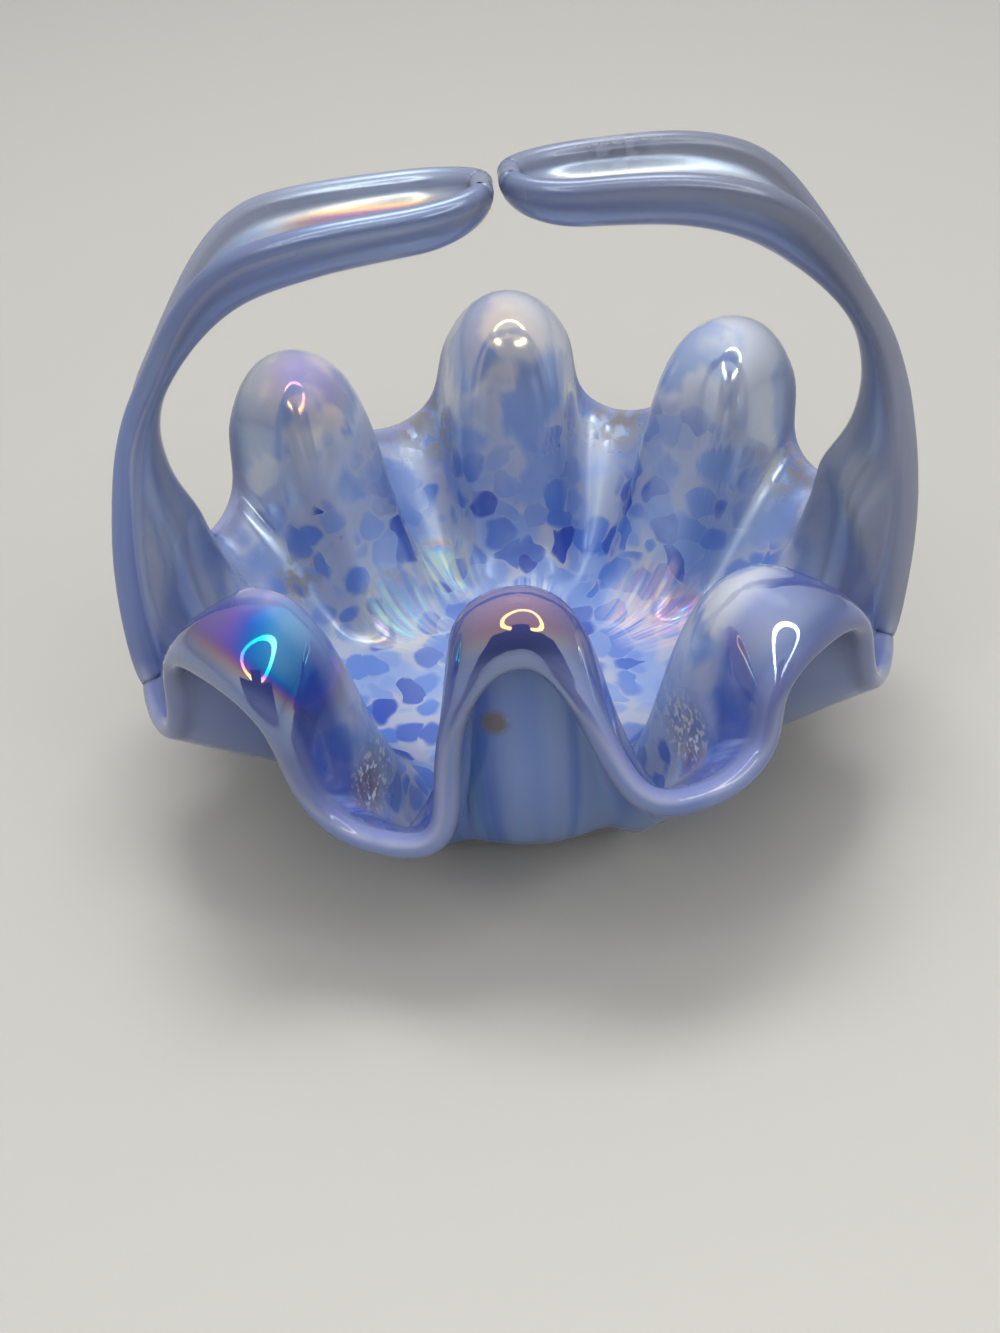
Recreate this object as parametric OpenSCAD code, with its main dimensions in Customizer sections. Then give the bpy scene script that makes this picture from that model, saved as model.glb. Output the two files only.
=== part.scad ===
// Hand-blown glass basket. One thick sheet of glass stands on a flat foot and is
// fluted into eight lobes. Six of them curl outwards at the rim, and the lobes on
// the left and right are drawn up into two arms that meet over the bowl.
// Millimetres, +Z up, front at -Y, origin at the middle of the foot on the table.
// All radii and heights are those of the middle of the glass.

/* [Glass] */
// Thickness of the foot
foot_t = 7; // [6:0.5:9]
// Thickness of the bowl's wall and rim
wall_t = 4; // [3:0.1:4.5]
// Thickness of the arms
arm_t = 3.6; // [3:0.1:4.2]

/* [Bowl] */
// Radius of the flat foot
foot_r = 25; // [20:0.5:27]
// Distance from the middle to the top of a lobe
lobe_r = 55; // [50:0.5:60]
// Height of the top of a lobe
lobe_z = 58.5; // [52:0.5:64]
// How far a lobe's lip reaches beyond its top
lip_out = 8; // [6:0.5:10]
// How far the lip drops below the top
lip_drop = 6; // [4:0.5:8]
// Distance from the middle to the rim of a gutter between two lobes
gutter_r = 64; // [60:0.5:68]
// Height of the rim of a gutter
gutter_z = 30; // [26:0.5:34]
// Slope of a gutter at the rim, in degrees
gutter_slope = 43; // [30:1:50]

/* [Arms] */
// Distance from the middle to the arms at their widest
arm_reach = 61.5; // [58:0.5:64]
// Height of the arms' underside where they meet
arm_top = 101; // [92:0.5:110]
// Half of an arm's width where it is drawn thin
arm_neck = 5; // [4:0.25:6.5]
// Half of an arm's width near its tip
arm_tip = 8.9; // [7:0.1:9.5]
// Depth of an arm's gutter where it is drawn thin
neck_depth = 1.5; // [1:0.25:3]
// Depth of an arm's gutter near its tip
tip_depth = 7; // [6:0.25:8]
// Gap between the two tips
tip_gap = 0.8; // [0.4:0.1:3]

/* [Hidden] */

// Lobes are numbered anticlockwise from the right arm, and gutter k follows lobe k.
lobes = 8;
arm_lobes = [0, 4];
pitch = 360 / lobes;

// Each lobe was pulled by hand, so each one departs from the even pattern.
// Turn of each lobe in degrees, and its top's and lip's departures
lobe_turn = [0, -3, -1, 3, 0, 0, -2, -2];
lobe_dr = [0, 4, 2, 1, 0, -0.5, -10, -3];
lobe_dz = [0, 0, 0, 0, 0, 0.5, 3.5, -2.5];
lip_dout = [0, 0, 0, 0, 0, 3, -3, 2];
lip_ddrop = [0, -0.5, -1, 0, 0, 0, 0, -1.5];
// Turn of each gutter, and its rim's departures
gutter_turn = [2, 0, 0, 0, -3.5, -3.7, -0.5, 3];
gutter_dr = [0, -1, 1, -1.5, 4.5, -1, 1.5, 1];
gutter_dz = [3, 0, -1.5, 1, -2.5, -3, 6, -3.5];
// How steep each lobe's flanks stand, on its clockwise and anticlockwise side
flank = [[0.35, 0.38], [0.36, 0.34], [0.4, 0.34], [0.4, 0.36],
         [0.36, 0.36], [0.5, 0.4], [0.5, 0.2], [0.34, 0.36]];
// How broad each lobe's crest is: under 1 is broader
crest_power = [1, 0.97, 0.95, 0.98, 1.04, 0.92, 0.55, 0.93];
// How much narrower each lobe is at its lip than at its top
lip_pinch = [0, 0, 0, 0, 0, 0, 1.7, 0];
// Where each lobe's wall turns up from the foot, and how flat its top runs in
lobe_toe = [46, 48, 48, 48, 46, 46, 62, 40];
top_run = [0, 14, 14, 15, 0, 7, 10, 17];
gutter_toe = [46, 46, 46, 46, 46, 52, 49, 46];
gutter_run = 26;

// Keel of each arm, from its root to its tip: distance in from arm_reach and
// distance below arm_top. The first list is the right arm.
arm_keel = [[[4.5, 53.5], [0.5, 41], [4.3, 21.8], [17.2, 8.4], [33, 1.3]],
            [[1.5, 53.5], [-0.5, 41], [3.5, 25], [16.5, 11], [32, 5]]];
// Half-width and depth of the arms' section at their root
root_half = 11;
root_depth = 6;
// Height below the root at which the arm's wall starts to lean in
root_lean = 30;
// Sideways set of each arm's tip, how far it hangs below arm_top, and how far
// right of the middle the tips meet
tip_side = [0.3, -0.8];
tip_fall = [0, 1];
tip_meet = -0.7;

// Fineness of the mesh
half_cols = 7;
base_rings = 3;
rise_rings = 10;
lip_rings = 5;
arm_rings = 24;
rim_facets = 4;

cols = 2 * half_cols * lobes;
rings = base_rings + rise_rings + lip_rings;
arm_cols = half_cols - 1;
foot_mid = foot_t / 2;
// The arm's section turns nearly through a half circle: this far on either side
section_turn = 84;
// Share of an arm's length over which its root, neck and tip blend
root_blend = 0.3;
neck_end = 0.42;
tip_start = 0.74;
tip_round = 0.08;
// Narrowing from tip_start to the tip, half-width left at the very end, how far
// the end's wall leans past the keel in thicknesses, and how dense the last rings lie
tip_taper = 0.2;
tip_small = 0.3;
tip_share = 0.345;
tip_pack = 1.5;
root_carry = 4.5;
flank_rise = 1.3;
thin_rings = 7;
step = 0.001;

function mix(a, b, t) = a + (b - a) * t;
function clamp(x) = min(1, max(0, x));
function ease(x) = let (c = clamp(x)) c * c * (3 - 2 * c);
function unit(v) = v / norm(v);
function bezier(p, t) = let (s = 1 - t)
    s * s * s * p[0] + 3 * s * s * t * p[1] + 3 * s * t * t * p[2] + t * t * t * p[3];
function turned(angle) = angle - 360 * floor((angle + 180) / 360);
function is_arm(k) = len(search(k, arm_lobes)) > 0;

// Profile of lobe k's crest as [radius, height] on ring j
function crest(k, j) =
    j <= base_rings ? [foot_r * j / base_rings, foot_mid]
    : is_arm(k) ? arm_wall(k, (j - base_rings) / (rings - base_rings))
    : j <= base_rings + rise_rings ? lobe_wall(k, (j - base_rings) / rise_rings)
    : lip(k, (j - base_rings - rise_rings) / lip_rings);
function lobe_top(k) = [lobe_r + lobe_dr[k], lobe_z + lobe_dz[k]];
function lobe_wall(k, t) = let (top = lobe_top(k))
    bezier([[foot_r, foot_mid], [lobe_toe[k], foot_mid], top - [top_run[k], 0], top], t);
function lip(k, t) =
    let (top = lobe_top(k), out = lip_out + lip_dout[k], drop = lip_drop + lip_ddrop[k])
    bezier([top, top + [0.6 * out, 0], top + [out, -0.4 * drop], top + [out, -drop]], t);
function arm_wall(k, t) = let (root = keel_points(k)[1])
    bezier([[foot_r, foot_mid], [lobe_toe[k], foot_mid], root - [0, root_lean], root], t);

// Profile of gutter k on ring j
function gutter(k, j) =
    j <= base_rings ? [foot_r * j / base_rings, foot_mid]
    : let (rim = [gutter_r + gutter_dr[k], gutter_z + gutter_dz[k]],
           run = gutter_run * [cos(gutter_slope), sin(gutter_slope)])
      bezier([[foot_r, foot_mid], [gutter_toe[k], foot_mid], rim - run, rim],
             (j - base_rings) / (rings - base_rings));

// Spline of the arm's keel, with a point before its root and one past its tip
function keel_points(k) =
    let (a = k == arm_lobes[0] ? 0 : 1, hand = a == 0 ? 1 : -1,
         path = [for (p = arm_keel[a]) [arm_reach - p[0], arm_top - p[1]]],
         tip = [tip_gap / 2 + hand * tip_meet + tip_share * arm_t, arm_top - tip_fall[a]])
    concat([path[0] - [0, 13]], path, [tip, 2 * tip - path[len(path) - 1]]);
function keel(points, s) =
    let (n = len(points) - 3, u = clamp(s) * n, i = min(n - 1, floor(u)), t = u - i,
         a = points[i], b = points[i + 1], c = points[i + 2], d = points[i + 3])
    (2 * b + (c - a) * t + (2 * a - 5 * b + 4 * c - d) * t * t
     + (3 * b - a - 3 * c + d) * t * t * t) / 2;

crest_table = [for (k = [0 : lobes - 1]) [for (j = [0 : rings]) crest(k, j)]];
gutter_table = [for (k = [0 : lobes - 1]) [for (j = [0 : rings]) gutter(k, j)]];

// Column i belongs to a lobe and lies off columns from its crest
function lobe_of(i) = floor((i + half_cols) / (2 * half_cols)) % lobes;
function off_of(i) = (i + half_cols) % (2 * half_cols) - half_cols;
function on_arm(i) = is_arm(lobe_of(i)) && abs(off_of(i)) <= arm_cols;
function top_ring(i) = on_arm(i) ? rings + arm_rings : rings;

// Middle of the glass in the bowl
function bowl_point(i, j) =
    let (k = lobe_of(i), off = off_of(i), side = off < 0 ? 0 : 1,
         g = (k + side + lobes - 1) % lobes, f = abs(off) / half_cols,
         lip_part = clamp((j - base_rings - rise_rings) / lip_rings),
         w = pow((1 + cos(180 * f)) / 2, crest_power[k] * (1 + lip_pinch[k] * lip_part)),
         p = mix(gutter_table[g][j], crest_table[k][j], w),
         from = k * pitch + lobe_turn[k],
         to = (g + 0.5) * pitch + gutter_turn[g],
         steep = flank[k][side] * ease(flank_rise * j / rings),
         a = from + turned(to - from) * (f + steep * sin(360 * f) / PI))
    [p[0] * cos(a), p[0] * sin(a), p[1]];

// Share of the arm's length at ring n, closer together near the tip
function arm_share(n) = 1 - pow(1 - n / arm_rings, tip_pack);

// Middle of the glass in an arm: the bowl's last ring is carried on and
// blended into a gutter-shaped section that is swept along the keel
function arm_point(i, s) =
    let (k = lobe_of(i), a = k == arm_lobes[0] ? 0 : 1, hand = a == 0 ? 1 : -1,
         points = keel_points(k), c = keel(points, s),
         along = unit(keel(points, s + step) - keel(points, s - step)),
         out = [along[1], -along[0]],
         neck = ease(s / neck_end), tip = ease((s - neck_end) / (tip_start - neck_end)),
         taper = 1 - tip_taper * ease((s - tip_start) / (1 - tip_start)),
         half = taper * mix(mix(root_half, arm_neck, neck), arm_tip, tip),
         depth = taper * mix(mix(root_depth, neck_depth, neck), tip_depth, tip),
         ending = clamp((s - 1 + tip_round) / tip_round),
         small = sqrt(1 - ending * ending * (1 - tip_small * tip_small)),
         turn = off_of(i) / arm_cols * section_turn,
         across = half * sin(turn) / sin(section_turn) * small,
         bow = (1 - cos(turn)) / (1 - cos(section_turn)),
         deep = depth * mix(1, bow, sqrt(1 - ending * ending)),
         p = c + out * deep,
         swept = [hand * p[0], hand * across + tip_side[a] * ease(s), p[1]],
         last = bowl_point(i, rings),
         carried = last + (last - bowl_point(i, rings - 1)) * root_carry * s)
    mix(carried, swept, ease(s / root_blend));

centre = [0, 0, foot_mid];
mid = [for (i = [0 : cols - 1]) [for (j = [0 : top_ring(i)])
    j == 0 ? centre : j <= rings ? bowl_point(i, j) : arm_point(i, arm_share(j - rings))]];

function left_of(i) = (i + cols - 1) % cols;
function right_of(i) = (i + 1) % cols;
function beside(i, n, j) = j <= top_ring(n) ? mid[n][j] : mid[i][j];
function up_from(i, j) = mid[i][min(j + 1, top_ring(i))];
function normal(i, j) = unit(cross(up_from(i, j) - mid[i][j - 1],
    beside(i, right_of(i), j) - beside(i, left_of(i), j)));
function thickness(j) =
    j <= base_rings ? foot_t
    : mix(mix(foot_t, wall_t, ease((j - base_rings) / thin_rings)), arm_t,
          ease((j - rings) / thin_rings));
function inner_point(i, j) = mid[i][j] + normal(i, j) * thickness(j) / 2;
function outer_point(i, j) =
    let (p = mid[i][j] - normal(i, j) * thickness(j) / 2)
    [p[0], p[1], j <= base_rings ? 0 : max(0, p[2])];

// The edge of the sheet, once round: along the bowl's rim, up each arm and down
edge = [for (i = [0 : cols - 1]) each concat(
    top_ring(i) > top_ring(left_of(i)) ? [for (j = [rings : top_ring(i) - 1]) [i, j]] : [],
    [[i, top_ring(i)]],
    top_ring(i) > top_ring(right_of(i)) ? [for (j = [top_ring(i) - 1 : -1 : rings]) [i, j]] : [])];

// Points of the half-round rim between the two faces of the sheet
function rim_row(e) =
    let (n = len(edge), here = edge[e], next = edge[(e + 1) % n], last = edge[(e + n - 1) % n],
         top = inner_point(here[0], here[1]), bottom = outer_point(here[0], here[1]),
         half = (top - bottom) / 2,
         out = unit(cross(mid[next[0]][next[1]] - mid[last[0]][last[1]], half)) * norm(half))
    [for (q = [1 : rim_facets - 1]) let (a = 180 * q / rim_facets)
        (top + bottom) / 2 + half * cos(a) + out * sin(a)];

// Numbering of the points: both faces column by column, then the rim
starts = [for (i = 0, n = 0; i <= cols; n = n + (i < cols ? top_ring(i) : 0), i = i + 1) n];
sheet_count = starts[cols];
inner_centre = 2 * sheet_count;
outer_centre = inner_centre + 1;
function inner_id(i, j) = starts[i] + j - 1;
function outer_id(i, j) = sheet_count + starts[i] + j - 1;
function rim_id(e, q) =
    let (at = edge[e % len(edge)])
    q == 0 ? inner_id(at[0], at[1])
    : q == rim_facets ? outer_id(at[0], at[1])
    : outer_centre + 1 + (e % len(edge)) * (rim_facets - 1) + q - 1;

points = concat(
    [for (i = [0 : cols - 1]) for (j = [1 : top_ring(i)]) inner_point(i, j)],
    [for (i = [0 : cols - 1]) for (j = [1 : top_ring(i)]) outer_point(i, j)],
    [[0, 0, foot_t], [0, 0, 0]],
    [for (e = [0 : len(edge) - 1]) each rim_row(e)]);

// Two triangles across the shorter diagonal
function tiles(a, b, c, d) =
    norm(points[a] - points[c]) <= norm(points[b] - points[d])
    ? [[a, b, c], [a, c, d]] : [[a, b, d], [b, c, d]];
function shared_top(i) = min(top_ring(i), top_ring(right_of(i)));

faces = concat(
    [for (i = [0 : cols - 1]) [inner_centre, inner_id(right_of(i), 1), inner_id(i, 1)]],
    [for (i = [0 : cols - 1])
        [outer_centre, outer_id(i, base_rings), outer_id(right_of(i), base_rings)]],
    [for (i = [0 : cols - 1]) for (j = [1 : shared_top(i) - 1]) let (n = right_of(i))
        each tiles(inner_id(n, j), inner_id(n, j + 1), inner_id(i, j + 1), inner_id(i, j))],
    [for (i = [0 : cols - 1]) for (j = [base_rings : shared_top(i) - 1]) let (n = right_of(i))
        each tiles(outer_id(i, j), outer_id(i, j + 1), outer_id(n, j + 1), outer_id(n, j))],
    [for (e = [0 : len(edge) - 1]) for (q = [0 : rim_facets - 1])
        each tiles(rim_id(e + 1, q), rim_id(e + 1, q + 1), rim_id(e, q + 1), rim_id(e, q))]);

module basket()
    color([0.62, 0.68, 0.86])
        polyhedron(points = points, faces = faces);

basket();
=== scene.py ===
"""Looks of a hand-blown glass basket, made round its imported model.

The glass is one closed sheet with two faces and a half-round rim. It follows the same
formulas as the solid in the frame, with more rows and columns, and takes its place.
Lengths are in millimetres up to the point where a mesh is made, then in metres.
"""

import math

import bpy
import numpy as np
from mathutils import Matrix, Vector, noise
from mathutils.kdtree import KDTree


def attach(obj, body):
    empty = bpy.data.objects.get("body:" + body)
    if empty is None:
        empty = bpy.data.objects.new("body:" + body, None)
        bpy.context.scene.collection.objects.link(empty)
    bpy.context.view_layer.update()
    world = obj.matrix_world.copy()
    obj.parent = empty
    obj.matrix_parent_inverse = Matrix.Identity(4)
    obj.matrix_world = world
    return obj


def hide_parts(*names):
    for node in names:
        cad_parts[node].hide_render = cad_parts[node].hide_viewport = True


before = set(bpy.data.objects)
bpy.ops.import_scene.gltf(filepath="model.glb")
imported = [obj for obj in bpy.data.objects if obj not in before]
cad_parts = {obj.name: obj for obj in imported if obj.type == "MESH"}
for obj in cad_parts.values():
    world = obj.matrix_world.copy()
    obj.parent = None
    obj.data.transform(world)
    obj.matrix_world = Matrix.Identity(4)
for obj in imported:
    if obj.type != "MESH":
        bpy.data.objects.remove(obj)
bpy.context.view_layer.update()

MM = 0.001
MM_IN_CM = 10

# The photograph's frame and its view of the basket
PHOTO_SIZE = (1000, 1333)
FOCAL_PIXELS = 1364
SENSOR = 36.0
VIEW_ELEVATION = 40.6
VIEW_ROLL = 3.84
VIEW_DISTANCE = 264
VIEW_TARGET = (-5.1, 0, 11.4)
CLIP_START = 0.01


def make_camera():
    """The camera at the photograph's viewing angle. It comes first."""
    elevation, roll = math.radians(VIEW_ELEVATION), math.radians(VIEW_ROLL)
    forward = Vector((0, math.cos(elevation), -math.sin(elevation)))
    level_right = Vector((1, 0, 0))
    level_up = Vector((0, math.sin(elevation), math.cos(elevation)))
    right = math.cos(roll) * level_right - math.sin(roll) * level_up
    up = math.sin(roll) * level_right + math.cos(roll) * level_up
    data = bpy.data.cameras.new("camera")
    data.sensor_width = SENSOR
    data.lens = SENSOR * FOCAL_PIXELS / max(PHOTO_SIZE)
    data.clip_start = CLIP_START
    camera = bpy.data.objects.new("camera", data)
    bpy.context.scene.collection.objects.link(camera)
    turn = Matrix((right, up, -forward)).transposed().to_4x4()
    place = (Vector(VIEW_TARGET) - VIEW_DISTANCE * forward) * MM
    camera.matrix_world = Matrix.Translation(place) @ turn
    bpy.context.scene.camera = camera


# The glass: thickness of the foot, of the wall and of the arms
FOOT_T, WALL_T, ARM_T = 7, 4, 3.6
FOOT_R = 25
FOOT_MID = FOOT_T / 2

# Eight lobes, numbered anticlockwise from the right arm. Gutter k follows lobe k.
LOBES = 8
ARM_LOBES = (0, 4)
PITCH = 360 / LOBES
LOBE_R, LOBE_Z, LIP_OUT, LIP_DROP = 55, 58.5, 8, 6
GUTTER_R, GUTTER_Z, GUTTER_SLOPE = 64, 30, math.radians(43)
LOBE_TURN = (0, -3, -1, 3, 0, 0, -2, -2)
LOBE_DR = (0, 4, 2, 1, 0, -0.5, -10, -3)
LOBE_DZ = (0, 0, 0, 0, 0, 0.5, 3.5, -2.5)
LIP_DOUT = (0, 0, 0, 0, 0, 3, -3, 2)
LIP_DDROP = (0, -0.5, -1, 0, 0, 0, 0, -1.5)
GUTTER_TURN = (2, 0, 0, 0, -3.5, -3.7, -0.5, 3)
GUTTER_DR = (0, -1, 1, -1.5, 4.5, -1, 1.5, 1)
GUTTER_DZ = (3, 0, -1.5, 1, -2.5, -3, 6, -3.5)
FLANK = ((0.35, 0.38), (0.36, 0.34), (0.4, 0.34), (0.4, 0.36),
         (0.36, 0.36), (0.5, 0.4), (0.5, 0.2), (0.34, 0.36))
CREST_POWER = (1, 0.97, 0.95, 0.98, 1.04, 0.92, 0.55, 0.93)
LIP_PINCH = (0, 0, 0, 0, 0, 0, 1.7, 0)
LOBE_TOE = (46, 48, 48, 48, 46, 46, 62, 40)
TOP_RUN = (0, 14, 14, 15, 0, 7, 10, 17)
GUTTER_TOE = (46, 46, 46, 46, 46, 52, 49, 46)
GUTTER_RUN = 26
FLANK_RISE = 1.3

# The arms, right one first: keel from the root to the tip, as distance in from
# ARM_REACH and distance below ARM_TOP
ARM_REACH, ARM_TOP = 61.5, 101
ARM_KEEL = (((4.5, 53.5), (0.5, 41), (4.3, 21.8), (17.2, 8.4), (33, 1.3)),
            ((1.5, 53.5), (-0.5, 41), (3.5, 25), (16.5, 11), (32, 5)))
ROOT_HALF, NECK_HALF, TIP_HALF = 11, 5, 8.9
ROOT_DEPTH, NECK_DEPTH, TIP_DEPTH = 6, 1.5, 7
ROOT_LEAN, ROOT_BELOW = 30, 13
TIP_GAP = 0.8
TIP_SIDE = (0.3, -0.8)
TIP_MEET = -0.7
SECTION_TURN = math.radians(84)
ROOT_BLEND, NECK_END, TIP_START, TIP_ROUND = 0.3, 0.42, 0.74, 0.08
TIP_SMALL, TIP_TAPER, TIP_PACK = 0.3, 0.2, 1.5
ROOT_CARRY = 4.5
TIP_SHARE = 0.345
TIP_FALL = (0, 1)

# Fineness: this many times the solid's rows and columns
FINE = 3
HALF_COLS = 7 * FINE
ARM_COLS = 6 * FINE
BASE_RINGS, RISE_RINGS, LIP_RINGS = 3 * FINE, 10 * FINE, 5 * FINE
ARM_RINGS = 24 * FINE
THIN_RINGS = 7 * FINE
RIM_FACETS = 8
RINGS = BASE_RINGS + RISE_RINGS + LIP_RINGS
COLS = 2 * HALF_COLS * LOBES

# How far the wall and an arm reach outwards on the disc that the glass was blown from
DISC_WALL, DISC_ARM = 40, 22
# Slight waves of glass worked by hand: how far they push, waves in a millimetre, and
# the seed, without which Blender takes the clock's time for this noise
WAVE_PUSH, WAVE_RATE, WAVE_SEED = 0.16, 0.06, 1
# Slow changes of the glass: waves in a millimetre, or in a unit of flow for the streaks,
# and how many octaves of noise. The film's noise is shifted, so that it differs.
PATCH_RATE, PATCH_OCTAVES = 0.05, 2
CLOUD_RATE, CLOUD_OCTAVES = 0.1, 3
STREAK_RATE, STREAK_OCTAVES = (7, 7, 0.2), 2
FILM_RATE, FILM_OCTAVES, FILM_SHIFT = 0.032, 2, 50


def mix(a, b, t):
    return a + (b - a) * t


def ease(x):
    c = np.clip(x, 0, 1)
    return c * c * (3 - 2 * c)


def unit(v):
    return v / np.linalg.norm(v, axis=-1, keepdims=True)


def bezier(points, t):
    p, t = np.asarray(points, float), np.asarray(t, float)[:, None]
    s = 1 - t
    return s**3 * p[0] + 3 * s * s * t * p[1] + 3 * s * t * t * p[2] + t**3 * p[3]


def share(count, start=1):
    """Even steps up to 1, from the first or from 0."""
    return np.arange(start, count + 1) / count


def flat_part():
    """Profile of the foot as rows of radius and height, the same under every column."""
    t = share(BASE_RINGS, 0)
    return np.stack([FOOT_R * t, np.full(len(t), FOOT_MID)], 1)


def crest(k):
    """Profile of lobe k's crest, one row for each ring."""
    foot = (FOOT_R, FOOT_MID)
    toe = (LOBE_TOE[k], FOOT_MID)
    if k in ARM_LOBES:
        root = keel_points(k)[1]
        wall = bezier([foot, toe, root - (0, ROOT_LEAN), root], share(RISE_RINGS + LIP_RINGS))
        return np.concatenate([flat_part(), wall])
    top = np.array([LOBE_R + LOBE_DR[k], LOBE_Z + LOBE_DZ[k]])
    out, drop = LIP_OUT + LIP_DOUT[k], LIP_DROP + LIP_DDROP[k]
    wall = bezier([foot, toe, top - (TOP_RUN[k], 0), top], share(RISE_RINGS))
    lip = bezier([top, top + (0.6 * out, 0), top + (out, -0.4 * drop), top + (out, -drop)],
                 share(LIP_RINGS))
    return np.concatenate([flat_part(), wall, lip])


def gutter(k):
    """Profile of gutter k, one row for each ring."""
    rim = np.array([GUTTER_R + GUTTER_DR[k], GUTTER_Z + GUTTER_DZ[k]])
    run = GUTTER_RUN * np.array([math.cos(GUTTER_SLOPE), math.sin(GUTTER_SLOPE)])
    wall = bezier([(FOOT_R, FOOT_MID), (GUTTER_TOE[k], FOOT_MID), rim - run, rim],
                  share(RISE_RINGS + LIP_RINGS))
    return np.concatenate([flat_part(), wall])


def keel_points(k):
    """The arm's keel, with a point below its root and one past its tip."""
    path = np.array([(ARM_REACH - x, ARM_TOP - z) for x, z in ARM_KEEL[ARM_LOBES.index(k)]])
    hand = 1 if k == ARM_LOBES[0] else -1
    tip_in = TIP_GAP / 2 + hand * TIP_MEET + TIP_SHARE * ARM_T
    tip = np.array([tip_in, ARM_TOP - TIP_FALL[hand < 0]])
    return np.concatenate([[path[0] - (0, ROOT_BELOW)], path, [tip, 2 * tip - path[-1]]])


def keel(points, s):
    """Smooth curve through the keel's points."""
    spans = len(points) - 3
    u = np.clip(s, 0, 1) * spans
    i = np.minimum(spans - 1, np.floor(u).astype(int))
    t = (u - i)[:, None]
    a, b, c, d = points[i], points[i + 1], points[i + 2], points[i + 3]
    bend = 2 * a - 5 * b + 4 * c - d
    return (2 * b + (c - a) * t + bend * t * t + (3 * b - a - 3 * c + d) * t**3) / 2


def column(i):
    """Lobe of column i, and how many columns it lies off that lobe's crest."""
    lobe, place = divmod(i + HALF_COLS, 2 * HALF_COLS)
    return lobe % LOBES, place - HALF_COLS


def bowl_middle():
    """Middle of the glass in the bowl, and each column's share of its lobe's crest."""
    crests = [crest(k) for k in range(LOBES)]
    gutters = [gutter(k) for k in range(LOBES)]
    middle, crown = np.zeros((COLS, RINGS + 1, 3)), np.zeros((COLS, RINGS + 1))
    rise = ease(FLANK_RISE * share(RINGS, 0))
    lip = np.clip((np.arange(RINGS + 1) - BASE_RINGS - RISE_RINGS) / LIP_RINGS, 0, 1)
    for i in range(COLS):
        k, off = column(i)
        side = int(off >= 0)
        g, f = (k + side - 1) % LOBES, abs(off) / HALF_COLS
        power = CREST_POWER[k] * (1 + LIP_PINCH[k] * lip)
        crown[i] = ((1 + math.cos(math.pi * f)) / 2) ** power
        p = mix(gutters[g], crests[k], crown[i][:, None])
        start, end = k * PITCH + LOBE_TURN[k], (g + 0.5) * PITCH + GUTTER_TURN[g]
        span = (end - start + 180) % 360 - 180
        turn = start + span * (f + FLANK[k][side] * rise * math.sin(2 * math.pi * f) / math.pi)
        turn = np.radians(turn)
        middle[i] = np.stack([p[:, 0] * np.cos(turn), p[:, 0] * np.sin(turn), p[:, 1]], 1)
    return middle, crown


def arm_middle(k, bowl):
    """Middle of the glass in the arm of lobe k: its columns, then its points."""
    a = ARM_LOBES.index(k)
    hand = 1 if a == 0 else -1
    off = np.arange(-ARM_COLS, ARM_COLS + 1)
    columns = (2 * HALF_COLS * k + off) % COLS
    points, step = keel_points(k), 0.001
    s = 1 - (1 - share(ARM_RINGS)) ** TIP_PACK
    centre = keel(points, s)
    along = unit(keel(points, s + step) - keel(points, s - step))
    out = np.stack([along[:, 1], -along[:, 0]], 1)
    neck, tip = ease(s / NECK_END), ease((s - NECK_END) / (TIP_START - NECK_END))
    half = mix(mix(ROOT_HALF, NECK_HALF, neck), TIP_HALF, tip)
    depth = mix(mix(ROOT_DEPTH, NECK_DEPTH, neck), TIP_DEPTH, tip)
    taper = 1 - TIP_TAPER * ease((s - TIP_START) / (1 - TIP_START))
    half, depth = half * taper, depth * taper
    ending = np.clip((s - 1 + TIP_ROUND) / TIP_ROUND, 0, 1)
    small = np.sqrt(1 - ending**2 * (1 - TIP_SMALL**2))
    turn = off / ARM_COLS * SECTION_TURN
    across = np.outer(np.sin(turn) / math.sin(SECTION_TURN), half * small)
    bow = (1 - np.cos(turn)) / (1 - math.cos(SECTION_TURN))
    deep = depth * mix(1, bow[:, None], np.sqrt(1 - ending**2))
    place = centre + out * deep[..., None]
    side = hand * across + TIP_SIDE[a] * ease(s)
    swept = np.stack([hand * place[..., 0], side, place[..., 1]], -1)
    last, before = bowl[columns, RINGS][:, None], bowl[columns, RINGS - 1][:, None]
    carried = last + (last - before) * (ROOT_CARRY * FINE * s)[:, None]
    return columns, mix(carried, swept, ease(s / ROOT_BLEND)[:, None])


def wavy(middle):
    """The sheet with its slight waves."""
    noise.seed_set(WAVE_SEED)
    glass = ~np.isnan(middle[..., 0])
    push = [noise.noise_vector(Vector(p) * WAVE_RATE) for p in middle[glass]]
    middle[glass] += WAVE_PUSH * np.array(push)
    return middle


def drift(points, glass, octaves, shift=0):
    """Smooth noise over the points where there is glass, spread evenly from 0 to 1."""
    values = np.zeros(glass.shape)
    move = Vector((shift, shift, shift))
    rough = np.array([noise.fractal(Vector(p) + move, 1, 2, octaves) for p in points[glass]])
    values[glass] = np.searchsorted(np.sort(rough), rough) / len(rough)
    return values


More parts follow.
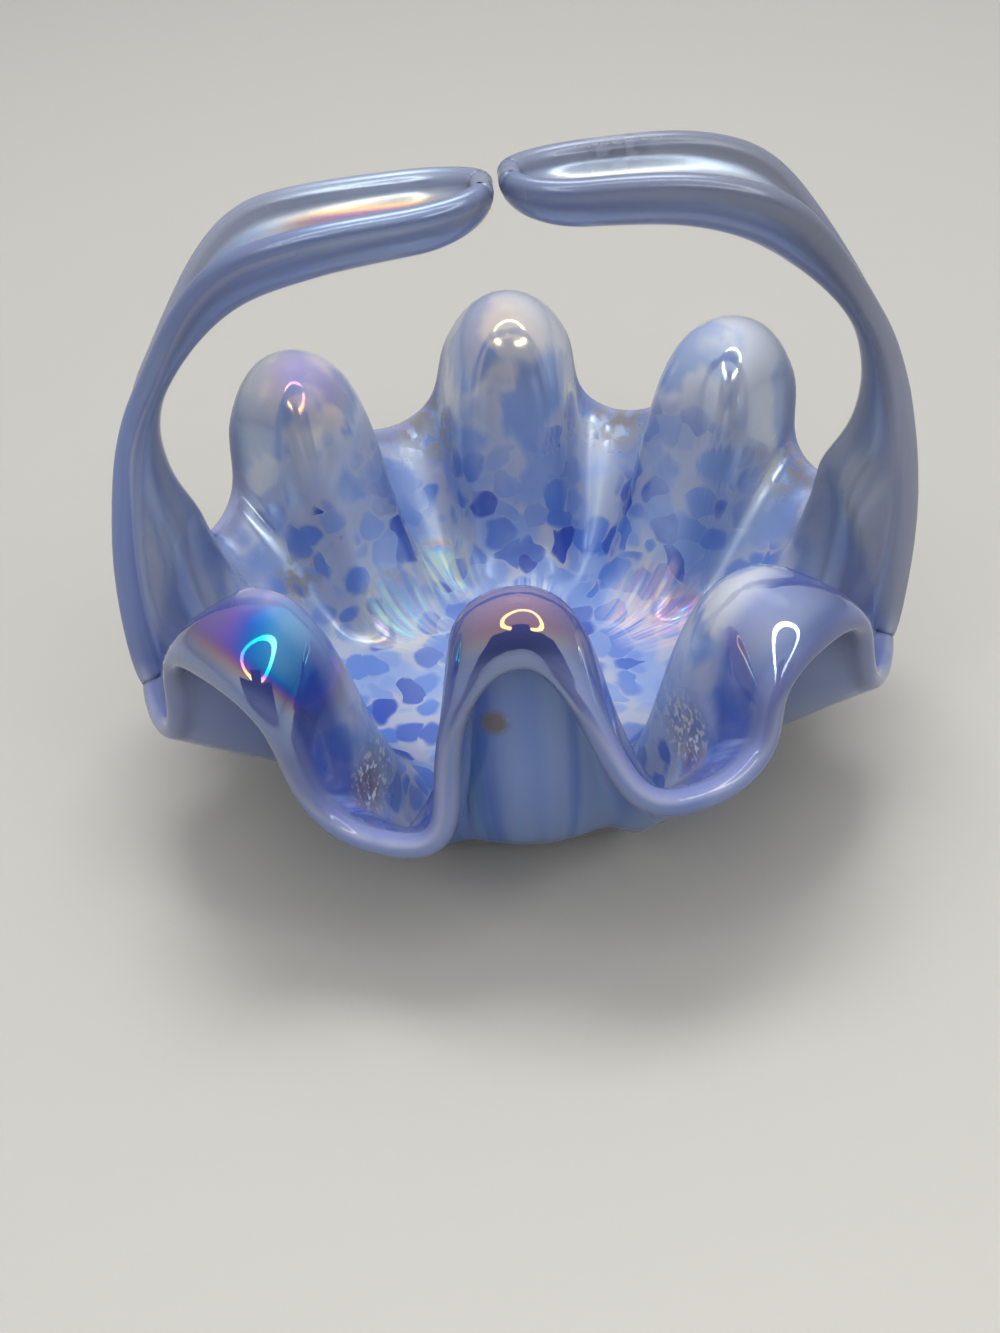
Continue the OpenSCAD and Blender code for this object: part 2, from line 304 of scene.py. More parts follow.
def sheet_faces(middle):
    """Both faces of the glass, from its middle. Where there is no glass, both are nan."""
    right, left = np.roll(middle, -1, 0), np.roll(middle, 1, 0)
    right, left = (np.where(np.isnan(x), middle, x) for x in (right, left))
    above = np.concatenate([middle[:, 1:], middle[:, -1:]], 1)
    above = np.where(np.isnan(above), middle, above)
    below = np.concatenate([middle[:, :1], middle[:, :-1]], 1)
    with np.errstate(invalid="ignore", divide="ignore"):
        normal = unit(np.cross(above - below, right - left))
    normal[:, 0] = (0, 0, 1)
    j = np.arange(middle.shape[1])
    wall = mix(FOOT_T, WALL_T, ease((j - BASE_RINGS) / THIN_RINGS))
    thick = np.where(j <= BASE_RINGS, FOOT_T, mix(wall, ARM_T, ease((j - RINGS) / THIN_RINGS)))
    inner = middle + normal * thick[:, None] / 2
    outer = middle - normal * thick[:, None] / 2
    outer[..., 2] = np.where(j <= BASE_RINGS, 0, np.maximum(outer[..., 2], 0))
    return inner, outer


def edge_loop(tops):
    """Column and ring of each point along the sheet's edge, once round."""
    loop = []
    for i, top in enumerate(tops):
        if top > tops[i - 1]:
            loop += [(i, j) for j in range(RINGS, top)]
        loop.append((i, top))
        if top > tops[(i + 1) % COLS]:
            loop += [(i, j) for j in range(top - 1, RINGS - 1, -1)]
    return np.array(loop)


def rim_rows(middle, inner, outer, loop):
    """Points of the half-round rim between the two faces, row by row."""
    i, j = loop.T
    here = middle[i, j]
    along = np.roll(here, -1, 0) - np.roll(here, 1, 0)
    half = (inner[i, j] - outer[i, j]) / 2
    out = unit(np.cross(along, half)) * np.linalg.norm(half, axis=1, keepdims=True)
    turns = [math.pi * q / RIM_FACETS for q in range(1, RIM_FACETS)]
    centre = (inner[i, j] + outer[i, j]) / 2
    return [centre + half * math.cos(t) + out * math.sin(t) for t in turns]


def edge_distance(middle, loop):
    """Distance of each point of the sheet from the sheet's edge, in centimetres."""
    tree = KDTree(len(loop))
    for n, (i, j) in enumerate(loop):
        tree.insert(middle[i, j], n)
    tree.balance()
    away = np.zeros(middle.shape[:2])
    for i, j in np.argwhere(~np.isnan(middle[..., 0])):
        away[i, j] = tree.find(middle[i, j])[2] / MM_IN_CM
    return away


def sheet_values(middle, crown, loop):
    """What the material reads at each point of the sheet. The glass was blown from a disc.

    flow: the point's direction on that disc and its way out, in centimetres.
    arm: share of an arm's length. crown: 1 on a lobe's crest. edge: centimetres from
    the rim. patch, cloud, streak and film: slow changes from 0 to 1 over the glass.
    """
    cols, rows = middle.shape[:2]
    glass = ~np.isnan(middle[..., 0])
    turn = 2 * math.pi * np.arange(cols)[:, None] / cols
    j = np.arange(rows)
    foot_share = np.clip(j / BASE_RINGS, 0, 1)
    wall_share = np.clip((j - BASE_RINGS) / (RINGS - BASE_RINGS), 0, 1)
    arm_share = 1 - (1 - np.clip((j - RINGS) / ARM_RINGS, 0, 1)) ** TIP_PACK
    out = (FOOT_R * foot_share + DISC_WALL * wall_share + DISC_ARM * arm_share) / MM_IN_CM
    ray = np.stack([np.cos(turn), np.sin(turn)], -1) * np.ones((1, rows, 1))
    flow = np.concatenate([ray, out[:, None] * np.ones((cols, rows, 1))], -1)
    return {
        "flow": flow,
        "patch": drift(middle * PATCH_RATE, glass, PATCH_OCTAVES),
        "cloud": drift(middle * CLOUD_RATE, glass, CLOUD_OCTAVES),
        "streak": drift(flow * STREAK_RATE, glass, STREAK_OCTAVES),
        "film": drift(middle * FILM_RATE, glass, FILM_OCTAVES, FILM_SHIFT),
        "arm": arm_share * np.ones((cols, 1)),
        "crown": np.concatenate([crown, np.repeat(crown[:, -1:], rows - RINGS - 1, 1)], 1),
        "edge": edge_distance(middle, loop),
    }


def glass_mesh():
    """The closed mesh, with the values that the material reads at each point."""
    bowl, crown = bowl_middle()
    middle = np.full((COLS, RINGS + ARM_RINGS + 1, 3), np.nan)
    middle[:, :RINGS + 1] = bowl
    for k in ARM_LOBES:
        columns, points = arm_middle(k, bowl)
        middle[columns, RINGS + 1:] = points
    middle = wavy(middle)
    inner, outer = sheet_faces(middle)
    glass = ~np.isnan(middle[..., 0])
    tops = glass.sum(1) - 1
    loop = edge_loop(tops)
    rows = rim_rows(middle, inner, outer, loop)

    there = glass[:, 1:]
    count = int(there.sum())
    number = np.full(glass.shape, -1)
    number[:, 1:][there] = np.arange(count)
    inner_id, outer_id = number.copy(), number + count
    inner_id[:, 0], outer_id[:, 0] = 2 * count, 2 * count + 1
    centre = [(0, 0, FOOT_T), (0, 0, 0)]
    verts = np.concatenate([inner[:, 1:][there], outer[:, 1:][there], centre, *rows])

    faces = []
    for i in range(COLS):
        n = (i + 1) % COLS
        faces.append((inner_id[i, 0], inner_id[i, 1], inner_id[n, 1]))
        faces.append((outer_id[i, 0], outer_id[n, 1], outer_id[i, 1]))
        for j in range(1, min(tops[i], tops[n])):
            round_cell = [(i, j), (i, j + 1), (n, j + 1), (n, j)]
            faces.append([inner_id[c] for c in round_cell])
            faces.append([outer_id[c] for c in reversed(round_cell)])
    size = len(loop)
    first = 2 * count + 2
    strips = [inner_id[tuple(loop.T)]]
    strips += [first + q * size + np.arange(size) for q in range(RIM_FACETS - 1)]
    strips.append(outer_id[tuple(loop.T)])
    for upper, lower in zip(strips, strips[1:]):
        for e in range(size):
            n = (e + 1) % size
            faces.append((upper[e], lower[e], lower[n], upper[n]))

    mesh = bpy.data.meshes.new("glass_basket")
    corners = [tuple(int(x) for x in face) for face in faces]
    mesh.from_pydata([tuple(v) for v in verts * MM], [], corners)
    mesh.shade_smooth()

    def store(name, values):
        """Writes values, one row for each point of the mesh, as an attribute."""
        kind, field = ("FLOAT_VECTOR", "vector") if values.ndim == 2 else ("FLOAT", "value")
        layer = mesh.attributes.new(name, kind, "POINT")
        layer.data.foreach_set(field, values.astype(np.float32).ravel())

    for name, grid in sheet_values(middle, crown, loop).items():
        sheet, foot, rim = grid[:, 1:][there], grid[:1, 0], grid[tuple(loop.T)]
        store(name, np.concatenate([sheet, sheet, foot, foot] + [rim] * (RIM_FACETS - 1)))
    turns = [math.pi * q / RIM_FACETS for q in range(1, RIM_FACETS)]
    rim_side = [np.full(size, (1 + math.cos(t)) / 2) for t in turns]
    store("inside", np.concatenate([np.ones(count), np.zeros(count), [1, 0], *rim_side]))
    return mesh


# Share of a place's radius within which it is felt in full
NEAR_FULL = 0.35


class Nodes:
    """Short calls for one material's node tree."""

    def __init__(self, name):
        self.material = bpy.data.materials.new(name)
        self.material.use_nodes = True
        self.tree = self.material.node_tree
        self.shader = self.tree.nodes["Principled BSDF"]
        self.output = self.tree.nodes["Material Output"]

    def add(self, kind, inputs=None, **settings):
        """A new node. inputs are numbers, colours or other nodes' sockets, by name or place."""
        node = self.tree.nodes.new("ShaderNode" + kind)
        for name, value in settings.items():
            setattr(node, name, value)
        for name, value in (inputs or {}).items():
            self.put(node, name, value)
        return node

    def put(self, node, name, value):
        if isinstance(value, bpy.types.NodeSocket):
            self.tree.links.new(value, node.inputs[name])
        else:
            node.inputs[name].default_value = value

    def value(self, name):
        """A number that the mesh holds at each point."""
        return self.add("Attribute", attribute_name=name).outputs["Fac"]

    def vector(self, name):
        return self.add("Attribute", attribute_name=name).outputs["Vector"]

    def math(self, operation, *values):
        node = self.add("Math", dict(enumerate(values)), operation=operation)
        return node.outputs[0]

    def times(self, *values):
        """The product of several numbers."""
        result = values[0]
        for value in values[1:]:
            result = self.math("MULTIPLY", result, value)
        return result

    def rise(self, value, low, high, bottom=0, top=1):
        """Smooth rise from bottom at low to top at high."""
        if low > high:
            low, high, bottom, top = high, low, top, bottom
        limits = {"Value": value, "From Min": low, "From Max": high,
                  "To Min": bottom, "To Max": top}
        return self.add("MapRange", limits, interpolation_type="SMOOTHSTEP").outputs[0]

    def scaled(self, vector, factors):
        return self.add("Mapping", {"Vector": vector, "Scale": factors}).outputs[0]

    def noise(self, vector, scale, detail, output="Fac"):
        inputs = {"Vector": vector, "Scale": scale, "Detail": detail}
        return self.add("TexNoise", inputs).outputs[output]

    def vector_math(self, operation, inputs):
        return self.add("VectorMath", inputs, operation=operation).outputs[0]

    def warped(self, vector, scale, amount):
        """The vector, pushed about by noise of this scale."""
        push = self.noise(vector, scale, 1, "Color")
        push = self.vector_math("SUBTRACT", {0: push, 1: (0.5, 0.5, 0.5)})
        push = self.vector_math("SCALE", {0: push, "Scale": amount})
        return self.vector_math("ADD", {0: vector, 1: push})

    def mix(self, share, low, high):
        """Colour between low and high. In this node, 6, 7 and output 2 are the colours."""
        node = self.add("Mix", {0: share}, data_type="RGBA")
        for place, colour in ((6, low), (7, high)):
            if not isinstance(colour, bpy.types.NodeSocket):
                colour = (*colour, 1)
            self.put(node, place, colour)
        return node.outputs[2]

    def near(self, places):
        """1 at any of these places of x, y, z and radius in millimetres, fading out to 0."""
        here = self.add("TexCoord").outputs["Object"]
        result = None
        for x, y, z, radius in places:
            centre = (x * MM, y * MM, z * MM)
            away = self.add("VectorMath", {0: here, 1: centre}, operation="DISTANCE")
            full = NEAR_FULL * radius * MM
            spot = self.rise(away.outputs["Value"], full, radius * MM, 1, 0)
            result = spot if result is None else self.math("MAXIMUM", result, spot)
        return result


# Colours of the glass, as linear red, green and blue
NET = (0.26, 0.28, 0.37)
MILK = (0.36, 0.38, 0.46)
CLEAR = (0.27, 0.30, 0.41)
PALE_BLUE = (0.15, 0.22, 0.43)
SPOT = (0.055, 0.12, 0.39)
# DEEP also paints the dark reflection along the front beside the rim and on the front left lobe
DEEP = (0.015, 0.04, 0.28)
RIM = (0.13, 0.15, 0.27)
GREY = (0.22, 0.22, 0.25)
CYAN = (0.10, 0.28, 0.50)
DUST = (0.17, 0.155, 0.14)
# Painted highlight: the colour of bright glints of light on the rough patches
PAINTED_GLINT_COLOUR = (0.55, 0.56, 0.58)
# Painted sheen: the lustre's iridescent reflection, cyan on the left and pink on the right
PAINTED_SHEEN_LEFT = (0.42, 0.60, 0.58)
PAINTED_SHEEN_RIGHT = (0.66, 0.42, 0.60)
DIRT = (0.13, 0.115, 0.10)

# Places on the glass, each as x, y, z and a radius in millimetres. Dust has settled in the
# back gutters and in the right arm's tip, and a fleck of dirt sits on the front wall.
DUSTY = (
    (-16.8, 58, 31, 11), (24, 54, 31, 9), (55, 27, 34, 8), (-44, 21, 20, 7), (18, 6, 106.5, 8)
)
FLECK = ((-6.5, -46, 39.5, 3.2),)
# Rough patches in the front gutters, left where the lustre was burnt. Their sparkle is a
# painted highlight: bright specks of colour stand for glints of light.
SPARKLING = ((-26.5, -42, 26, 8), (24, -42, 31.5, 8))
# Where the front left lobe is darkest: a painted reflection of the dark person and phone, in
# deep blue on its inside
PAINTED_REFLECTION_PLACE = ((-33, -44, 55, 15),)
# Streaks of lustre that run out from the bowl's centre. The film is thicker there, and a
# painted iridescent sheen lightens their colour.
STREAKY = ((-24.8, 20.9, 10.6, 12), (-16.6, 34.7, 8.5, 11), (27, 17, 9, 13), (2, 24, 7, 10))
# Where the lustre is thicker, by how many nanometres
FILM_PATCHES = (
    (30, ((0, -50, 60, 22), (0, 50, 57, 18))),
    (46, ((-36, 37, 56, 16), (-20, 5, 105, 22))),
    (55, ((-42, -42, 57, 22),)),
    (40, ((-33, -44, 55, 13),)),
    (90, ((-24, -46, 26, 9), (24, -48, 28, 7))),
)

# Noise in the material, in waves or cells to a metre: the spots, what bends them and how
# far in metres, the dust's grit and the painted glints. The streaks' is to a unit of flow.
SPOT_CELLS, SPOT_BEND, SPOT_PUSH = 185, 150, 0.0055
GRIT_RATE, PAINTED_GLINT_RATE = 380, 900
DRAWN_RATE = (22, 22, 0.35)

# Each fade holds the two values between which something rises or falls smoothly, and then
# what it is at each of them, where that isn't 0 and 1. These two are in metres.
TO_RIGHT = (-0.03, 0.05)
TO_FRONT = (0.01, -0.03)
# The net and its spots. A spot's size is a share of its cell, and grows in patches and on
# the right.
NET_CLOUDS = (0.2, 0.8, 0, 0.9)
SPOT_SIZE = (0, 1, 0.30, 0.62)
SPOT_PATCH = 0.24
SPOT_RIGHT = 0.14
SPOT_EDGE = (0.06, -0.16)
SPOT_STRENGTH = (0.02, 0.25, 0.2, 1)
DEEP_SPOTS = (0.4, 0.9)
PALE_SPOTS = (0.35, 0.75, 0, 0.8)
# The lobes, by reach: the way out, to which a lobe's crest adds CREST_REACH centimetres
CREST_REACH = 2.0
LOBE_CLOUDS = (0.35, 0.8)
LOBE_START = (5.7, 6.9)
TOP_START = (6.6, 8.2)
TOP_PALE = 0.8
# The arms, and the root that each grows from, by the way out and by metres off its middle
ARM_DRAWN = (0.35, 0.68, 0.1, 0.55)
ARM_BLUE = (0.4, 0.8)
ARM_BLUE_SIDES = (0, 1, 0.6, 0.1)
ARM_GREY = 0.6
ARM_SOON = 6
ROOT_OUT = (4.8, 6.5)
ROOT_SIDE = (0.022, 0.012)
ARM_START = (0.2, 1)
# The outside, and its milky sides in metres from the middle
OUTSIDE_BLUE = (0.05, 0.8)
OUTSIDE_CYAN = (0.5, 0.75, 0, 0.35)
OUTSIDE_MILK = (0.02, 0.06, 0, 0.5)
OUTSIDE_START = (0.6, 0.3)
# Deep blue beside the rim, with more of it at the front and a painted dark reflection along the
# front, and the rim, by centimetres from the edge
INNER_ONLY = (0.5, 0.9)
NOT_ARM = (0.1, 0)
TROUGH_CROWN = (0.6, 0.2)
TROUGH_EDGE = (2.2, 0.8)
TROUGH_FRONT = (0, 1, 0.25, 1)
PAINTED_REFLECTION_EDGE = (1.25, 0.8)
BESIDE_RIM = 0.85
PAINTED_REFLECTION_SHARE = 0.6
RIM_EDGE = (0.3, 0.08)
RIM_NOT_ARM = (0.05, 0)
RIM_SHARE = 0.7
# Dust, dirt, burnt patches with their painted glints, and streaks with a painted sheen
DUST_GRIT = (0.42, 0.56)
DUST_SHARE = 0.8
FLECK_GRIT = (0.3, 0.42)
FLECK_SHARE = 0.9
BURNT_SHARE = 0.5
PAINTED_GLINT_FADE = (0.5, 0.66)
STREAK_DRAWN = (0.36, 0.64)
PAINTED_SHEEN_SHARE = 0.65
# How clear the glass is, and what is left of that at the rim
TOP_CLEAR = 0.6
ARM_CLEAR = 0.25
RIM_CLEAR = (0, 1, 1, 0.3)
# The film's thickness in nanometres
FILM_DRIFT = (0, 1, -10, 12)
FILM_REACH = (5.5, 7, 30, 60)
FILM_STREAKS = (0.1, 0.9, 70, 170)
FILM_GLINT = 90
FILM_EDGE = (0.05, 0.5, 0.3, 1)
COATED_INSIDE = (0.1, 0.8)
COATED_ARM = (0, 0.1)
# Roughness: everywhere, in the bowl, in the back gutters, and more where something lies
SMOOTH = 0.05
STREAKS_SMOOTHER = (0, 1, 1, 0.4)
BOWL_ROUGH = (7.2, 5.8, 0, 0.22)
BOWL_EDGE = (0.5, 1.2)
GUTTER_CROWN = (0.4, 0.1)
GUTTER_BACK = (0.5, 0)
GUTTER_OUT = (4, 5)
GUTTER_ROUGH = 0.14
ARM_ROUGH, BURNT_ROUGH, DIRT_ROUGH = 0.2, 0.15, 0.4
# The glass itself: how it bends light, and the light it lets through, with how fast it
# takes the rest, to a metre
GLASS_IOR, FILM_IOR = 1.5, 2.2
BODY_COLOUR = (0.42, 0.55, 0.95)
BODY_DENSITY = 40


def glass_material():
    """Milky blue glass with spots, streaks and an iridescent lustre: a thin film, with painted
    glints and a painted sheen in the colour.
    """
    g = Nodes("glass")
    flow, inside = g.vector("flow"), g.value("inside")
    arm, crown, edge = g.value("arm"), g.value("crown"), g.value("edge")
    patch, cloud, streak = g.value("patch"), g.value("cloud"), g.value("streak")
    here = g.add("TexCoord").outputs["Object"]
    place = g.add("SeparateXYZ", {0: here})
    from_middle = [g.math("ABSOLUTE", place.outputs[axis]) for axis in "XY"]
    out = g.add("SeparateXYZ", {0: flow}).outputs["Z"]
    right = g.rise(place.outputs["X"], *TO_RIGHT)
    front = g.rise(place.outputs["Y"], *TO_FRONT)
    reach = g.math("ADD", out, g.times(crown, CREST_REACH))

    # Blue spots in a pale net at the bottom of the bowl and up its gutters
    net = g.mix(g.rise(cloud, *NET_CLOUDS), NET, PALE_BLUE)
    bent = g.warped(here, SPOT_BEND, SPOT_PUSH)
    dots = g.add("TexVoronoi", {"Vector": bent, "Scale": SPOT_CELLS})
    tint = g.add("SeparateColor", {0: dots.outputs["Color"]})
    larger = g.math("ADD", g.times(patch, SPOT_PATCH), g.times(right, SPOT_RIGHT))
    size = g.math("ADD", g.rise(tint.outputs[0], *SPOT_SIZE), larger)
    spot = g.rise(g.math("SUBTRACT", dots.outputs["Distance"], size), *SPOT_EDGE)
    spot = g.times(spot, g.rise(tint.outputs[0], *SPOT_STRENGTH))
    blue = g.mix(g.rise(tint.outputs[1], *DEEP_SPOTS), SPOT, DEEP)
    blue = g.mix(g.rise(tint.outputs[2], *PALE_SPOTS), blue, PALE_BLUE)
    mottled = g.mix(spot, net, blue)

    # Larger, blurred clouds on the lobes, and clear glass at their tops
    cloudy = g.mix(g.rise(cloud, *LOBE_CLOUDS), MILK, PALE_BLUE)
    lobe = g.rise(g.math("ADD", reach, cloud), *LOBE_START)
    colour = g.mix(lobe, mottled, cloudy)
    top = g.rise(reach, *TOP_START)
    colour = g.mix(g.times(top, TOP_PALE), colour, CLEAR)

    # Streaks along the arms and down the outside
    drawn = g.noise(g.scaled(flow, DRAWN_RATE), 1, 2)
    arm_colour = g.mix(g.rise(drawn, *ARM_DRAWN), MILK, PALE_BLUE)
    blue_arm = g.times(g.rise(streak, *ARM_BLUE), g.rise(right, *ARM_BLUE_SIDES))
    arm_colour = g.mix(blue_arm, arm_colour, SPOT)
    arm_colour = g.mix(g.times(right, ARM_GREY), arm_colour, GREY)
    outside = g.mix(g.rise(streak, *OUTSIDE_BLUE), SPOT, PALE_BLUE)
    outside = g.mix(g.rise(drawn, *OUTSIDE_CYAN), outside, CYAN)
    outside = g.mix(g.rise(from_middle[0], *OUTSIDE_MILK), outside, MILK)
    colour = g.mix(g.rise(inside, *OUTSIDE_START), colour, outside)
    root = g.times(g.rise(out, *ROOT_OUT), g.rise(from_middle[1], *ROOT_SIDE))
    drawn_out = g.rise(g.math("ADD", g.times(arm, ARM_SOON), root), *ARM_START)
    colour = g.mix(drawn_out, colour, arm_colour)

    # Deep blue in the gutters, stronger at the front, a painted reflection of the dark person
    # and phone along the front beside the rim, and the rim's own colour
    inner_bowl = g.times(g.rise(inside, *INNER_ONLY), g.rise(arm, *NOT_ARM))
    trough = g.times(inner_bowl, g.rise(crown, *TROUGH_CROWN), g.rise(edge, *TROUGH_EDGE),
                     g.rise(front, *TROUGH_FRONT))
    # Painted reflection: deep blue along the front beside the rim, where the glass mirrors the
    # dark person and phone
    painted_dark_reflection = g.times(inner_bowl, g.rise(edge, *PAINTED_REFLECTION_EDGE), front)
    colour = g.mix(g.times(g.math("MAXIMUM", trough, painted_dark_reflection), BESIDE_RIM), colour, DEEP)
    # Painted reflection: the front left lobe's inside darkened to deep blue where it mirrors
    # the dark person and phone
    colour = g.mix(g.times(g.near(PAINTED_REFLECTION_PLACE), inside, PAINTED_REFLECTION_SHARE), colour, DEEP)
    rim = g.times(g.rise(edge, *RIM_EDGE), g.rise(arm, *RIM_NOT_ARM))
    colour = g.mix(g.times(rim, RIM_SHARE), colour, RIM)

    # Dust, a fleck on the front wall, rough patches with painted glints, and streaks of lustre
    # with a painted sheen
    grit = g.noise(here, GRIT_RATE, 3)
    dusty = g.times(g.near(DUSTY), g.rise(grit, *DUST_GRIT), inside)
    fleck = g.times(g.near(FLECK), g.rise(grit, *FLECK_GRIT))
    burnt = g.times(g.near(SPARKLING), inside)
    # Painted highlight: specks in the rough patches where glints of light are painted into the
    # colour; the film is thicker there too
    painted_glint = g.times(burnt, g.rise(g.noise(here, PAINTED_GLINT_RATE, 1), *PAINTED_GLINT_FADE))
    colour = g.mix(g.times(dusty, DUST_SHARE), colour, DUST)
    colour = g.mix(g.times(fleck, FLECK_SHARE), colour, DIRT)
    colour = g.mix(g.times(burnt, BURNT_SHARE), colour, DUST)
    colour = g.mix(painted_glint, colour, PAINTED_GLINT_COLOUR)
    # Painted sheen: the streaks' colour is lightened to the lustre's iridescent reflection;
    # their film is also thicker and their glass smoother
    streaks_with_painted_sheen = g.times(g.near(STREAKY), g.rise(drawn, *STREAK_DRAWN), inside)
    painted_sheen = g.mix(right, PAINTED_SHEEN_LEFT, PAINTED_SHEEN_RIGHT)
    colour = g.mix(g.times(streaks_with_painted_sheen, PAINTED_SHEEN_SHARE), colour, painted_sheen)
    dirt = g.math("MAXIMUM", dusty, fleck)

    # How clear the glass is: only at the tops of the lobes and in the arms
    clear = g.math("MAXIMUM", g.times(top, TOP_CLEAR), g.times(drawn_out, ARM_CLEAR))
    clear = g.math("SUBTRACT", g.times(clear, g.rise(rim, *RIM_CLEAR)), dirt)

    # The lustre is a thin film: white where it is thinnest, then gold, purple, blue and green
    film_drift = g.value("film")
    film = g.math("ADD", g.rise(film_drift, *FILM_DRIFT), g.rise(reach, *FILM_REACH))
    film = g.math("ADD", film, g.times(streaks_with_painted_sheen, g.rise(film_drift, *FILM_STREAKS)))
    for thicker, places in FILM_PATCHES:
        film = g.math("ADD", film, g.times(g.near(places), thicker))
    film = g.math("ADD", film, g.times(painted_glint, FILM_GLINT))
    coated = g.math("MAXIMUM", g.rise(inside, *COATED_INSIDE), g.rise(arm, *COATED_ARM))
    film = g.times(film, coated, g.rise(edge, *FILM_EDGE))

    # Roughness: the back gutters are duller, and so are the arms, dust and burnt patches
    matt = g.times(inside, g.rise(reach, *BOWL_ROUGH), g.rise(edge, *BOWL_EDGE))
    dull = g.times(inside, g.rise(crown, *GUTTER_CROWN), g.rise(front, *GUTTER_BACK),
                   g.rise(out, *GUTTER_OUT), GUTTER_ROUGH)
    matt = g.times(g.math("ADD", matt, dull), g.rise(streaks_with_painted_sheen, *STREAKS_SMOOTHER))
    for where, rougher in ((drawn_out, ARM_ROUGH), (burnt, BURNT_ROUGH), (dirt, DIRT_ROUGH)):
        matt = g.math("ADD", matt, g.times(where, rougher))

    shader = g.shader
    g.put(shader, "Base Color", colour)
    g.put(shader, "Roughness", g.math("ADD", matt, SMOOTH))
    g.put(shader, "Transmission Weight", clear)
    g.put(shader, "IOR", GLASS_IOR)
    g.put(shader, "Thin Film IOR", FILM_IOR)
    g.put(shader, "Thin Film Thickness", film)
    body = g.add("VolumeAbsorption", {"Color": (*BODY_COLOUR, 1), "Density": BODY_DENSITY})
    g.tree.links.new(body.outputs[0], g.output.inputs["Volume"])
    return g.material


# The stage, in metres and watts: a pale floor, a softbox above and behind the basket, a
# ring lamp above and before it, and two dark cards for the person and phone it mirrors
AIM = (0, 0, 0.05)
FLOOR_SIZE = 6
FLOOR_COLOUR = (0.322, 0.315, 0.293)
FLOOR_ROUGH = 0.55
SOFTBOX_SIZE = (0.5, 0.3)
SOFTBOX_WATTS = 9
SOFTBOX_PLACE = (0.02, 0.3, 0.95)
RING_RADIUS = 0.15
RING_TUBE = 0.017
RING_STRENGTH = 9
RING_COLOUR = (1, 0.98, 0.95)
RING_SIDES, RING_AROUND = 8, 64
RING_X, RING_AWAY, RING_ELEVATION = 0.02, 0.3, math.radians(53)
# The ring stands at a slant to the glass, so it is seen flattened
RING_FLATTENED = 0.75
DARK_COLOUR = (0.02, 0.02, 0.03)
DARK_ROUGH = 0.8
PERSON_SIZE = (1.0, 0.5)
PERSON_PLACE = (0.05, -0.6, 0.2)
PERSON_AIM = (0.05, 0, 0.2)
PHONE_SIZE = (0.09, 0.07)
PHONE_PLACE = (-0.005, -0.215, 0.192)
# The room's light grows from its strength at the horizon to that overhead
ROOM_COLOUR = (0.97, 0.98, 1)
ROOM_HEIGHTS = (0, 0.9)
ROOM_STRENGTHS = (0.42, 1.02)


def link(obj):
    bpy.context.scene.collection.objects.link(obj)
    return obj


def aimed(obj, place, target=AIM):
    """Puts an object at a place, with its -Z towards the target."""
    obj.location = place
    obj.rotation_euler = (Vector(target) - Vector(place)).to_track_quat("-Z", "Y").to_euler()
    return link(obj)


def plate(name, width, height, material):
    """A flat card or floor that isn't part of the object."""
    x, y = width / 2, height / 2
    mesh = bpy.data.meshes.new(name)
    mesh.from_pydata([(-x, -y, 0), (x, -y, 0), (x, y, 0), (-x, y, 0)], [], [(0, 1, 2, 3)])
    mesh.materials.append(material)
    card = bpy.data.objects.new(name, mesh)
    return card


def plain_material(name, colour, roughness):
    g = Nodes(name)
    g.put(g.shader, "Base Color", (*colour, 1))
    g.put(g.shader, "Roughness", roughness)
    return g.material


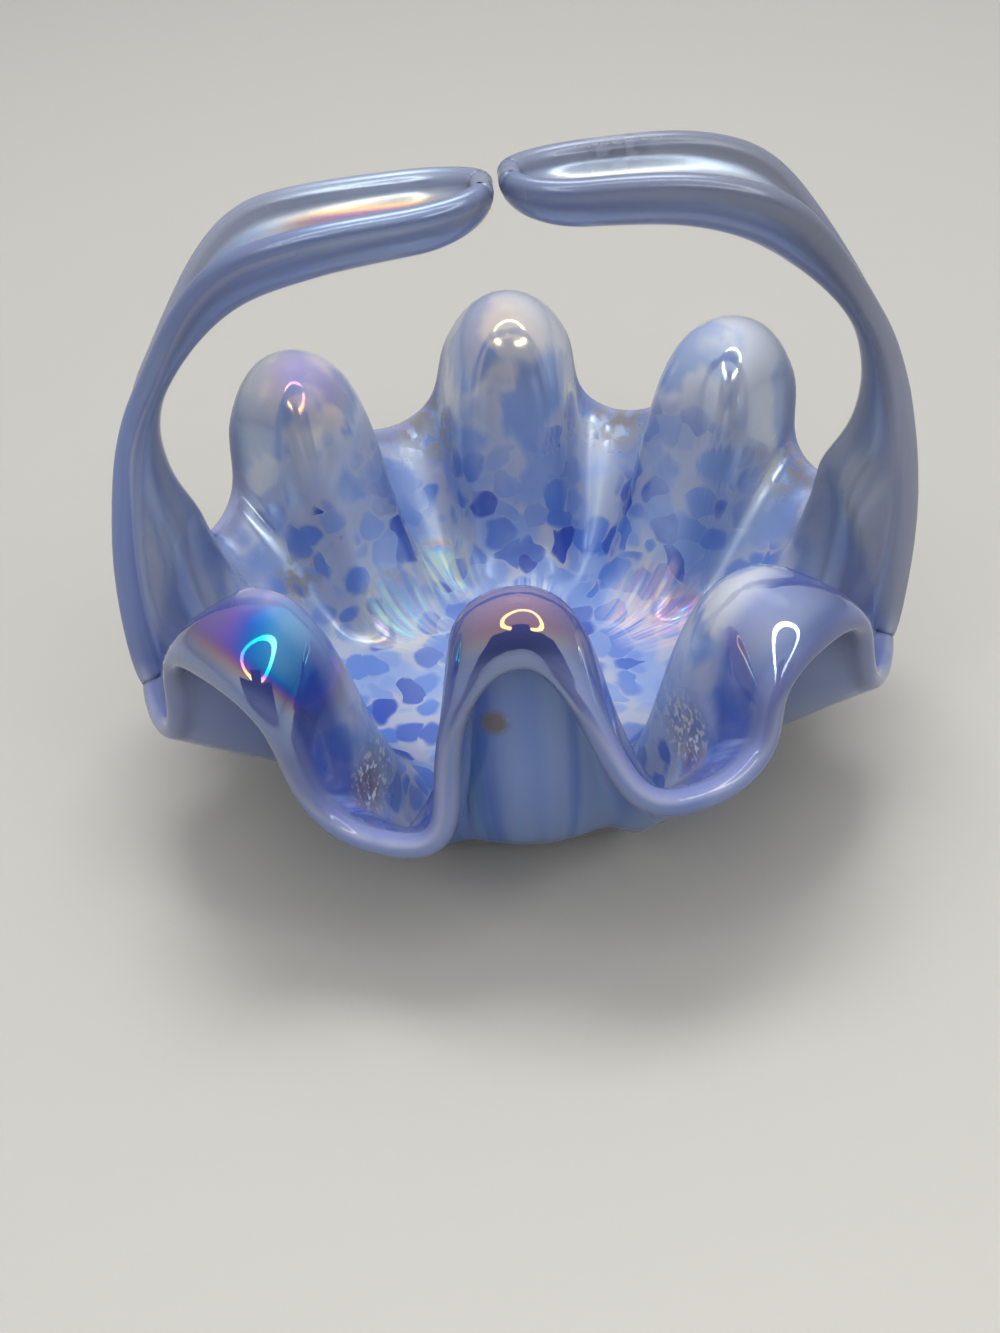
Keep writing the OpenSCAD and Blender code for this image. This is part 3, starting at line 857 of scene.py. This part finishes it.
def ring_lamp():
    """A glowing ring, which the glass mirrors as small rings."""
    sides = RING_SIDES
    verts, faces = [], []
    for i in range(RING_AROUND):
        a = 2 * math.pi * i / RING_AROUND
        for j in range(sides):
            b = 2 * math.pi * j / sides
            r = RING_RADIUS + RING_TUBE * math.cos(b)
            verts.append((r * math.cos(a), r * math.sin(a), RING_TUBE * math.sin(b)))
            n, m = (i + 1) % RING_AROUND, (j + 1) % sides
            faces.append((i * sides + j, n * sides + j, n * sides + m, i * sides + m))
    mesh = bpy.data.meshes.new("ring_lamp")
    mesh.from_pydata(verts, [], faces)
    g = Nodes("ring_light")
    glow = g.add("Emission", {"Color": (*RING_COLOUR, 1), "Strength": RING_STRENGTH})
    g.tree.links.new(glow.outputs[0], g.output.inputs["Surface"])
    mesh.materials.append(g.material)
    ring = bpy.data.objects.new("ring_lamp", mesh)
    ring.scale = (1, RING_FLATTENED, 1)
    ring.visible_camera = False
    return ring


def make_stage():
    """Plain pale floor, soft light from above, and what the glass mirrors in front."""
    floor = plain_material("floor", FLOOR_COLOUR, FLOOR_ROUGH)
    link(plate("floor", FLOOR_SIZE, FLOOR_SIZE, floor))

    lamp = bpy.data.lights.new("softbox", "AREA")
    lamp.shape, lamp.energy = "RECTANGLE", SOFTBOX_WATTS
    lamp.size, lamp.size_y = SOFTBOX_SIZE
    softbox = aimed(bpy.data.objects.new("softbox", lamp), SOFTBOX_PLACE)
    softbox.visible_glossy = False

    before, above = RING_AWAY * math.cos(RING_ELEVATION), RING_AWAY * math.sin(RING_ELEVATION)
    aimed(ring_lamp(), (RING_X, -before, AIM[2] + above))

    dark = plain_material("dark", DARK_COLOUR, DARK_ROUGH)
    person = aimed(plate("person", *PERSON_SIZE, dark), PERSON_PLACE, PERSON_AIM)
    phone = aimed(plate("phone", *PHONE_SIZE, dark), PHONE_PLACE)
    for card in (person, phone):
        card.visible_camera = False
        card.visible_diffuse = False
        card.visible_shadow = False

    world = bpy.data.worlds.new("room")
    bpy.context.scene.world = world
    world.use_nodes = True
    nodes, links = world.node_tree.nodes, world.node_tree.links
    height = nodes.new("ShaderNodeSeparateXYZ")
    links.new(nodes.new("ShaderNodeTexCoord").outputs["Generated"], height.inputs[0])
    ramp = nodes.new("ShaderNodeMapRange")
    for name, (low, high) in (("From", ROOM_HEIGHTS), ("To", ROOM_STRENGTHS)):
        ramp.inputs[name + " Min"].default_value = low
        ramp.inputs[name + " Max"].default_value = high
    links.new(height.outputs["Z"], ramp.inputs[0])
    links.new(ramp.outputs[0], nodes["Background"].inputs["Strength"])
    nodes["Background"].inputs["Color"].default_value = (*ROOM_COLOUR, 1)
    bpy.context.scene.view_settings.view_transform = "Standard"


make_camera()
make_stage()
basket = link(bpy.data.objects.new("glass_basket", glass_mesh()))
basket.data.materials.append(glass_material())
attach(basket, "root")
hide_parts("basket")
